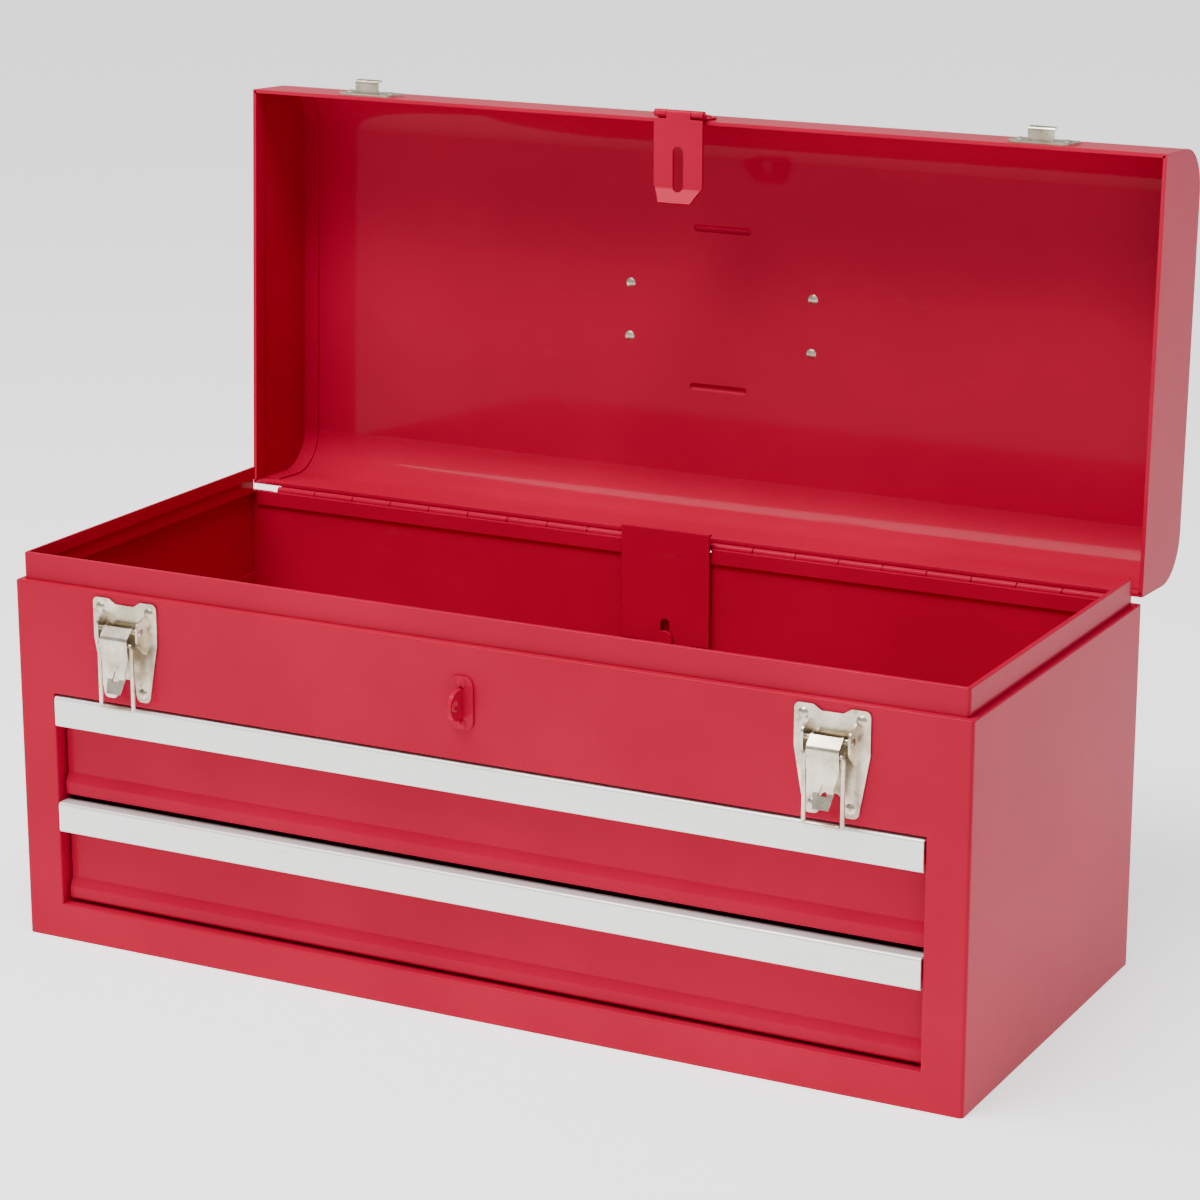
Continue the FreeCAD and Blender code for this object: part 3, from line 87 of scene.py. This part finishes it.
ENAMELLED = (
    "case_front", "case_left_side", "case_right_side", "case_back", "case_bottom", "till_floor",
    "lid_shell", "lid_left_end", "lid_right_end", "drawer_pan_upper", "drawer_pan_lower",
    "drawer_front_upper", "drawer_front_lower", "drawer_lock_bar", "lock_bar_rivets",
    "hinge_leaf_case", "hinge_leaf_lid", "hinge_pin", "hasp_leaf", "hasp_pin", "hasp_rivets",
    "hasp_plate", "staple", "staple_rivets",
)
TRIMS = ("drawer_trim_upper", "drawer_trim_lower")
NICKEL = (
    "latch_base_left", "latch_base_right", "latch_pin_left", "latch_pin_right",
    "latch_rivets_left", "latch_rivets_right", "latch_lever_left", "latch_lever_right",
    "latch_bail_left", "latch_bail_right", "latch_strike_left", "latch_strike_right",
    "strike_rivets", "handle_bracket_left", "handle_bracket_right", "handle_rivets", "handle_bail",
)
ZINC = (
    "runner_left_lower", "runner_left_upper", "runner_right_lower", "runner_right_upper",
    "drawer_catch_upper", "drawer_catch_lower",
)


class Socket:
    """A shader output that takes part in Python arithmetic."""

    def __init__(self, tree, output):
        self.tree = tree
        self.output = output

    def maths(self, operation, *values):
        return add_node(
            self.tree, "ShaderNodeMath", {"operation": operation}, dict(enumerate(values))
        )

    def __add__(self, other):
        return self.maths("ADD", self, other)

    def __sub__(self, other):
        return self.maths("SUBTRACT", self, other)

    def __mul__(self, other):
        return self.maths("MULTIPLY", self, other)

    def __rsub__(self, other):
        return self.maths("SUBTRACT", other, self)

    __radd__ = __add__
    __rmul__ = __mul__

    def between(self, low, high):
        """0 below low, 1 above high and a smooth step in between."""
        return add_node(
            self.tree, "ShaderNodeMapRange", {"interpolation_type": "SMOOTHSTEP"},
            {"Value": self, "From Min": low, "From Max": high},
        )


def join(tree, socket, value):
    if isinstance(value, Socket):
        tree.links.new(value.output, socket)
    else:
        socket.default_value = value


def add_node(tree, kind, settings, inputs, output=0):
    """Makes a node, sets its settings, then fills its inputs, and returns one of its outputs."""
    node = tree.nodes.new(kind)
    for name, value in settings.items():
        setattr(node, name, value)
    for name, value in inputs.items():
        join(tree, node.inputs[name], value)
    return Socket(tree, node.outputs[output])


def mix_colour(tree, factor, one, other):
    return add_node(
        tree, "ShaderNodeMix", {"data_type": "RGBA"}, {0: factor, 6: one, 7: other}, output=2
    )


class Finish:
    """A new material with its shader, its Object coordinates and its usual patterns."""

    def __init__(self, name):
        self.material = bpy.data.materials.new(name)
        self.material.use_nodes = True
        self.tree = self.material.node_tree
        self.shader = self.tree.nodes["Principled BSDF"]
        self.place = add_node(self.tree, "ShaderNodeTexCoord", {}, {}, output="Object")

    def stretched(self, scale):
        return add_node(
            self.tree, "ShaderNodeMapping", {}, {"Vector": self.place, "Scale": scale}
        )

    def noise(self, scale, detail=2.0, roughness=0.5, place=None):
        return add_node(
            self.tree, "ShaderNodeTexNoise", {},
            {"Vector": place or self.place, "Scale": scale, "Detail": detail, "Roughness": roughness},
        )

    def spots(self, scale):
        return add_node(
            self.tree, "ShaderNodeTexVoronoi", {}, {"Vector": self.place, "Scale": scale}
        )

    def set(self, name, value):
        join(self.tree, self.shader.inputs[name], value)

    def relief(self, height, distance, edge_radius=0.0):
        """Surface bumps, over edges that catch the light as if rounded where a radius is given."""
        inputs = {"Height": height, "Distance": distance, "Strength": 1.0}
        if edge_radius:
            inputs["Normal"] = add_node(
                self.tree, "ShaderNodeBevel", {"samples": 6}, {"Radius": edge_radius}
            )
        self.set("Normal", add_node(self.tree, "ShaderNodeBump", {}, inputs))


def enamel(settings):
    """Glossy enamel on pressed steel: orange peel, faint mottling, dust and rubbed patches."""
    finish = Finish("red_enamel")
    broad = finish.noise(9.0, 3.0, 0.55)
    fine = finish.noise(140.0, 2.0, 0.6)
    peel = finish.noise(620.0, 1.0, 0.5)
    streaks = finish.noise(1.0, 4.0, 0.6, finish.stretched((14.0, 160.0, 90.0)))
    body = mix_colour(finish.tree, broad.between(0.3, 0.72), settings.enamel_deep, settings.enamel)
    worn = streaks.between(0.6, 0.8) * fine.between(0.45, 0.65)
    dust = finish.spots(900.0).between(0.12, 0.0) * broad.between(0.5, 0.62)
    body = mix_colour(finish.tree, worn * 0.12 + dust * 0.25, body, settings.enamel_dust)
    finish.set("Base Color", body)
    finish.set("Roughness", 0.3 + fine * 0.06 + worn * 0.12)
    finish.set("Coat Weight", 0.21 - worn * 0.1)
    finish.set("Coat Roughness", 0.07)
    finish.set("Coat IOR", 1.3)
    finish.set("Specular IOR Level", 0.02)
    finish.relief(peel * 0.5 + broad * 3.0 + worn * 0.15, 0.00012, 0.0006)
    return finish.material


def trim_metal(settings):
    """Rolled aluminium with fine lines along its length."""
    finish = Finish("bright_aluminium")
    lines = finish.noise(1.0, 3.0, 0.7, finish.stretched((7.0, 1500.0, 1500.0)))
    broad = finish.noise(16.0, 2.0)
    scuffs = finish.noise(1.0, 4.0, 0.65, finish.stretched((60.0, 420.0, 420.0))).between(0.62, 0.74)
    colour = mix_colour(finish.tree, lines, settings.trim_shade, settings.trim)
    colour = mix_colour(finish.tree, scuffs * 0.35, colour, settings.trim_scuff)
    finish.set("Base Color", colour)
    finish.set("Metallic", 0.55)
    finish.set("Roughness", 0.34 + lines * 0.1 + broad * 0.05 + scuffs * 0.1)
    finish.relief(lines * 0.5 + scuffs * 0.5, 0.00003, 0.0004)
    return finish.material


def plated(name, bright, shade, roughness):
    """Plated steel: cloudy brightness, drawing lines, pits and small stains."""
    finish = Finish(name)
    cloud = finish.noise(55.0, 4.0, 0.6)
    grain = finish.noise(900.0, 2.0, 0.6)
    drawn = finish.noise(1.0, 3.0, 0.6, finish.stretched((1100.0, 1100.0, 60.0)))
    stain = finish.noise(240.0, 3.0, 0.6).between(0.58, 0.72)
    pits = finish.spots(1300.0).between(0.16, 0.04)
    colour = mix_colour(finish.tree, cloud.between(0.3, 0.7), shade, bright)
    colour = mix_colour(finish.tree, stain * 0.5, colour, tuple(0.45 * c for c in shade[:3]) + (1.0,))
    finish.set("Base Color", colour)
    finish.set("Metallic", 1.0)
    finish.set("Roughness", roughness + cloud * 0.1 + stain * 0.14)
    finish.relief(grain * 0.4 + drawn * 0.5 - pits * 0.8, 0.00004)
    return finish.material


def grip_plastic(settings):
    """Dull moulded plastic with a fine pebble texture and paler rubbed tops."""
    finish = Finish("grip_plastic")
    pebble = finish.spots(1500.0)
    broad = finish.noise(60.0, 3.0)
    colour = mix_colour(finish.tree, broad.between(0.4, 0.75), settings.grip, settings.grip_rubbed)
    finish.set("Base Color", colour)
    finish.set("Roughness", 0.5 + broad * 0.15 - pebble * 0.05)
    finish.relief(pebble + broad * 0.4, 0.00006, 0.0005)
    return finish.material


def give(nodes, material):
    for name in nodes:
        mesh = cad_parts[name].data
        mesh.materials.clear()
        mesh.materials.append(material)


def colour_property(name, description, default):
    return bpy.props.FloatVectorProperty(
        name=name, description=description, subtype="COLOR", size=4,
        default=default, min=0.0, max=1.0,
    )


def length_property(name, description, default):
    return bpy.props.FloatProperty(
        name=name, description=description, default=default, unit="LENGTH", min=0.0001
    )


class FinishSettings(bpy.types.PropertyGroup):
    """Colours of the toolbox."""

    enamel: colour_property("Enamel", "Main colour of the painted steel", (0.39, 0.0012, 0.028, 1))
    enamel_deep: colour_property("Deep enamel", "Darker parts of the paint", (0.345, 0.001, 0.024, 1))
    enamel_dust: colour_property("Dust", "Rubbed and dusty spots on the paint", (0.5, 0.06, 0.07, 1))
    trim: colour_property("Trim", "Bright colour of the pull rails", (0.93, 0.93, 0.9, 1))
    trim_shade: colour_property("Trim shade", "Darker lines of the pull rails", (0.8, 0.8, 0.77, 1))
    trim_scuff: colour_property("Trim scuff", "Scuffs on the pull rails", (0.6, 0.6, 0.58, 1))
    nickel: colour_property("Nickel", "Bright colour of the latches", (0.8, 0.72, 0.6, 1))
    nickel_shade: colour_property("Nickel shade", "Darker clouds", (0.42, 0.36, 0.26, 1))
    zinc: colour_property("Zinc", "Bright colour of hinge and runners", (0.78, 0.79, 0.8, 1))
    zinc_shade: colour_property("Zinc shade", "Darker clouds of the zinc", (0.58, 0.59, 0.61, 1))
    grip: colour_property("Grip", "Main colour of the handle's grip", (0.012, 0.012, 0.013, 1))
    grip_rubbed: colour_property("Rubbed grip", "Worn places on the grip", (0.035, 0.035, 0.036, 1))


class GripSettings(bpy.types.PropertyGroup):
    """Sizes of the moulded grip."""

    waist: length_property("Waist", "How far the middle of the grip is drawn in", 0.0012)
    groove: length_property("Groove", "Depth of each finger groove", 0.0007)
    ribs: bpy.props.IntProperty(name="Ribs", description="Number of raised rings", default=13, min=3)


class StudioSettings(bpy.types.PropertyGroup):
    """Camera, floor and lights."""

    azimuth: bpy.props.FloatProperty(
        name="Azimuth", description="How far the camera stands to the right of the front",
        default=math.radians(27.65), subtype="ANGLE",
    )
    elevation: bpy.props.FloatProperty(
        name="Elevation", description="How far the camera looks down",
        default=math.radians(15.43), subtype="ANGLE",
    )
    distance: length_property("Distance", "From the camera to the point it looks at", 1.805)
    target: bpy.props.FloatVectorProperty(
        name="Target", description="The point in the middle of the view", subtype="TRANSLATION",
        default=(0.0166, 0.0, 0.1886),
    )
    lens: bpy.props.FloatProperty(
        name="Lens", description="Focal length in millimetres on a 36 mm sensor", default=108.05
    )
    floor: colour_property("Floor", "Colour of the floor", (0.86, 0.86, 0.86, 1))
    key_power: bpy.props.FloatProperty(name="Key", description="Power of the main softbox", default=48.0)
    top_power: bpy.props.FloatProperty(name="Top", description="Power of the light overhead", default=20.0)
    fill_power: bpy.props.FloatProperty(name="Fill", description="Power of the fill light", default=0.5)
    sky: bpy.props.FloatProperty(name="Sky", description="Brightness of the surroundings", default=0.6)


class TOOLBOX_OT_enamel(bpy.types.Operator):
    """Finish the painted steel"""

    bl_idname = "toolbox.enamel"
    bl_label = "Enamel"

    def execute(self, context):
        give(ENAMELLED, enamel(context.scene.toolbox_finish))
        return {"FINISHED"}


class TOOLBOX_OT_trims(bpy.types.Operator):
    """Finish the drawers' pull rails"""

    bl_idname = "toolbox.trims"
    bl_label = "Pull rails"

    def execute(self, context):
        give(TRIMS, trim_metal(context.scene.toolbox_finish))
        return {"FINISHED"}


class TOOLBOX_OT_hardware(bpy.types.Operator):
    """Finish the latches, handle, runners and drawer catches"""

    bl_idname = "toolbox.hardware"
    bl_label = "Hardware"

    def execute(self, context):
        colours = context.scene.toolbox_finish
        nickel = plated("nickel_plate", tuple(colours.nickel), tuple(colours.nickel_shade), 0.24)
        zinc = plated("zinc_steel", tuple(colours.zinc), tuple(colours.zinc_shade), 0.32)
        give(NICKEL, nickel)
        give(ZINC, zinc)
        return {"FINISHED"}


def grip_tree(material):
    """Rings of plastic along a core, from three sizes and a count."""
    tree = bpy.data.node_groups.new("grip_rings", "GeometryNodeTree")
    for name, kind in (("Length", "Float"), ("Radius", "Float"), ("Groove", "Float"), ("Ribs", "Int")):
        tree.interface.new_socket(name, in_out="INPUT", socket_type="NodeSocket" + kind)
    tree.interface.new_socket("Mesh", in_out="OUTPUT", socket_type="NodeSocketGeometry")
    given = tree.nodes.new("NodeGroupInput").outputs
    length, radius, groove, ribs = (Socket(tree, given[number]) for number in range(4))
    end = add_node(tree, "ShaderNodeCombineXYZ", {}, {"X": length * (RING_SHARE / 2)})
    start = add_node(tree, "ShaderNodeVectorMath", {"operation": "SCALE"}, {0: end, "Scale": -1.0})
    line = add_node(tree, "GeometryNodeCurvePrimitiveLine", {}, {"Start": start, "End": end})
    points = add_node(tree, "GeometryNodeCurveToPoints", {}, {"Curve": line, "Count": ribs})
    circle = "GeometryNodeCurvePrimitiveCircle"
    ring = add_node(tree, circle, {}, {"Resolution": RING_SIDES, "Radius": radius - groove})
    profile = add_node(tree, circle, {}, {"Resolution": RING_PROFILE_SIDES, "Radius": groove})
    tube = add_node(tree, "GeometryNodeCurveToMesh", {}, {"Curve": ring, "Profile Curve": profile})
    rings = add_node(
        tree, "GeometryNodeInstanceOnPoints", {},
        {"Points": points, "Instance": tube, "Rotation": (0.0, math.pi / 2, 0.0)},
    )
    real = add_node(tree, "GeometryNodeRealizeInstances", {}, {"Geometry": rings})
    painted = add_node(
        tree, "GeometryNodeSetMaterial", {}, {"Geometry": real, "Material": material}
    )
    join(tree, tree.nodes.new("NodeGroupOutput").inputs["Mesh"], painted)
    return tree


def made_plain(tree, values, name):
    """Evaluates a Geometry Nodes tree once and returns its result as a plain mesh."""
    holder = bpy.data.objects.new(name + "_maker", bpy.data.meshes.new(name + "_maker"))
    bpy.context.scene.collection.objects.link(holder)
    modifier = holder.modifiers.new("nodes", "NODES")
    modifier.node_group = tree
    for item in tree.interface.items_tree:
        if item.in_out == "INPUT" and item.name in values:
            modifier[item.identifier] = values[item.name]
    depsgraph = bpy.context.evaluated_depsgraph_get()
    mesh = bpy.data.meshes.new_from_object(holder.evaluated_get(depsgraph))
    holder.modifiers.remove(modifier)
    bpy.data.objects.remove(holder)
    return mesh


def grip_core(settings):
    """A turned sleeve along X: rounded ends, a drawn-in waist and a bore for the wire."""
    half = GRIP_LENGTH / 2
    end = [
        (half, GRIP_BORE),
        (half, GRIP_RADIUS - GRIP_SHOULDER_DEPTH),
        (half - GRIP_END_LENGTH, GRIP_RADIUS - GRIP_CREST_DEPTH),
    ]
    outline = [(-x, radius) for x, radius in end]
    for step in range(GRIP_STEPS + 1):
        share = step / GRIP_STEPS
        x = (half - GRIP_SHOULDER_DEPTH) * (2 * share - 1)
        draw_in = settings.waist * math.sin(math.pi * share) ** 2
        outline.append((x, GRIP_RADIUS - GRIP_SKIN - draw_in))
    outline += end[::-1]
    mesh = bmesh.new()
    rings = []
    for x, radius in outline:
        ring = []
        for number in range(GRIP_SIDES):
            angle = 2 * math.pi * number / GRIP_SIDES
            ring.append(mesh.verts.new((x, radius * math.cos(angle), radius * math.sin(angle))))
        rings.append(ring)
    for one, other in zip(rings, rings[1:] + rings[:1]):
        for number in range(GRIP_SIDES):
            after = (number + 1) % GRIP_SIDES
            mesh.faces.new((one[number], one[after], other[after], other[number]))
    bmesh.ops.recalc_face_normals(mesh, faces=mesh.faces)
    return mesh


class TOOLBOX_OT_grip(bpy.types.Operator):
    """Mould the handle's grip with its rings"""

    bl_idname = "toolbox.grip"
    bl_label = "Grip"

    def execute(self, context):
        settings = context.scene.toolbox_grip
        material = grip_plastic(context.scene.toolbox_finish)
        values = {
            "Length": GRIP_LENGTH - GRIP_PLAIN_ENDS,
            "Radius": GRIP_RADIUS - settings.waist * 0.5,
            "Groove": settings.groove,
            "Ribs": settings.ribs,
        }
        rings = made_plain(grip_tree(material), values, "grip_rings")
        core = grip_core(settings)
        core.from_mesh(rings)
        mesh = bpy.data.meshes.new("ribbed_grip")
        core.to_mesh(mesh)
        core.free()
        bpy.data.meshes.remove(rings)
        for vertex in mesh.vertices:
            vertex.co += GRIP_CENTRE
        mesh.shade_smooth()
        mesh.materials.clear()
        mesh.materials.append(material)
        grip = bpy.data.objects.new("ribbed_grip", mesh)
        context.scene.collection.objects.link(grip)
        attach(grip, "handle")
        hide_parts("handle_grip")
        return {"FINISHED"}


def softbox(name, place, aim, size, power):
    data = bpy.data.lights.new(name, "AREA")
    data.shape = "RECTANGLE"
    data.size, data.size_y = size
    data.energy = power
    lamp = bpy.data.objects.new(name, data)
    bpy.context.scene.collection.objects.link(lamp)
    lamp.location = place
    lamp.rotation_euler = (Vector(aim) - Vector(place)).to_track_quat("-Z", "Y").to_euler()
    return lamp


def floor_finish(colour):
    finish = Finish("studio_floor")
    grain = finish.noise(30.0, 3.0)
    shade = tuple(0.985 * part for part in colour[:3]) + (1.0,)
    finish.set("Base Color", mix_colour(finish.tree, grain, colour, shade))
    finish.set("Roughness", 0.6 + grain * 0.05)
    finish.set("Emission Color", WHITE)
    finish.set("Emission Strength", FLOOR_GLOW)
    return finish.material


class TOOLBOX_OT_studio(bpy.types.Operator):
    """Set up the floor, the lights and the camera"""

    bl_idname = "toolbox.studio"
    bl_label = "Studio"

    def execute(self, context):
        settings = context.scene.toolbox_studio
        mesh = bpy.data.meshes.new("studio_floor")
        corners = ((-1, -1), (1, -1), (1, 1), (-1, 1))
        mesh.from_pydata(
            [(FLOOR_REACH * x, FLOOR_REACH * y, 0) for x, y in corners], [], [(0, 1, 2, 3)]
        )
        mesh.materials.append(floor_finish(tuple(settings.floor)))
        floor = bpy.data.objects.new("studio_floor", mesh)
        context.scene.collection.objects.link(floor)
        target = Vector(settings.target)
        world = bpy.data.worlds.new("studio")
        context.scene.world = world
        world.use_nodes = True
        background = world.node_tree.nodes["Background"]
        background.inputs["Color"].default_value = WHITE
        background.inputs["Strength"].default_value = settings.sky
        lamps = [
            softbox("key", KEY_PLACE, target, KEY_SIZE, settings.key_power),
            softbox("top", TOP_PLACE, TOP_AIM, TOP_SIZE, settings.top_power),
            softbox("fill", FILL_PLACE, target, FILL_SIZE, settings.fill_power),
        ]
        direction = Vector((
            math.sin(settings.azimuth) * math.cos(settings.elevation),
            -math.cos(settings.azimuth) * math.cos(settings.elevation),
            math.sin(settings.elevation),
        ))
        data = bpy.data.cameras.new("camera")
        data.sensor_width = SENSOR_WIDTH
        data.lens = settings.lens
        data.clip_end = 50.0
        camera = bpy.data.objects.new("camera", data)
        context.scene.collection.objects.link(camera)
        camera.location = target + direction * settings.distance
        camera.rotation_euler = (-direction).to_track_quat("-Z", "Y").to_euler()
        context.scene.camera = camera
        return {"FINISHED"}


class TOOLBOX_PT_panel(bpy.types.Panel):
    """Lists what makes up the toolbox"""

    bl_idname = "TOOLBOX_PT_panel"
    bl_label = "Toolbox"
    bl_space_type = "VIEW_3D"
    bl_region_type = "UI"
    bl_category = "Toolbox"

    def draw(self, context):
        for operator in OPERATORS:
            self.layout.operator(operator.bl_idname)


SETTINGS = (
    ("toolbox_finish", FinishSettings),
    ("toolbox_grip", GripSettings),
    ("toolbox_studio", StudioSettings),
)
OPERATORS = (
    TOOLBOX_OT_enamel, TOOLBOX_OT_trims, TOOLBOX_OT_hardware, TOOLBOX_OT_grip, TOOLBOX_OT_studio,
)


def register():
    for name, group in SETTINGS:
        bpy.utils.register_class(group)
        setattr(bpy.types.Scene, name, bpy.props.PointerProperty(type=group))
    for part in OPERATORS + (TOOLBOX_PT_panel,):
        bpy.utils.register_class(part)


def unregister():
    for part in (TOOLBOX_PT_panel,) + OPERATORS[::-1]:
        bpy.utils.unregister_class(part)
    for name, group in SETTINGS[::-1]:
        delattr(bpy.types.Scene, name)
        bpy.utils.unregister_class(group)


def main():
    register()
    for operator in OPERATORS:
        family, action = operator.bl_idname.split(".")
        getattr(getattr(bpy.ops, family), action)()


if __name__ == "__main__":
    main()
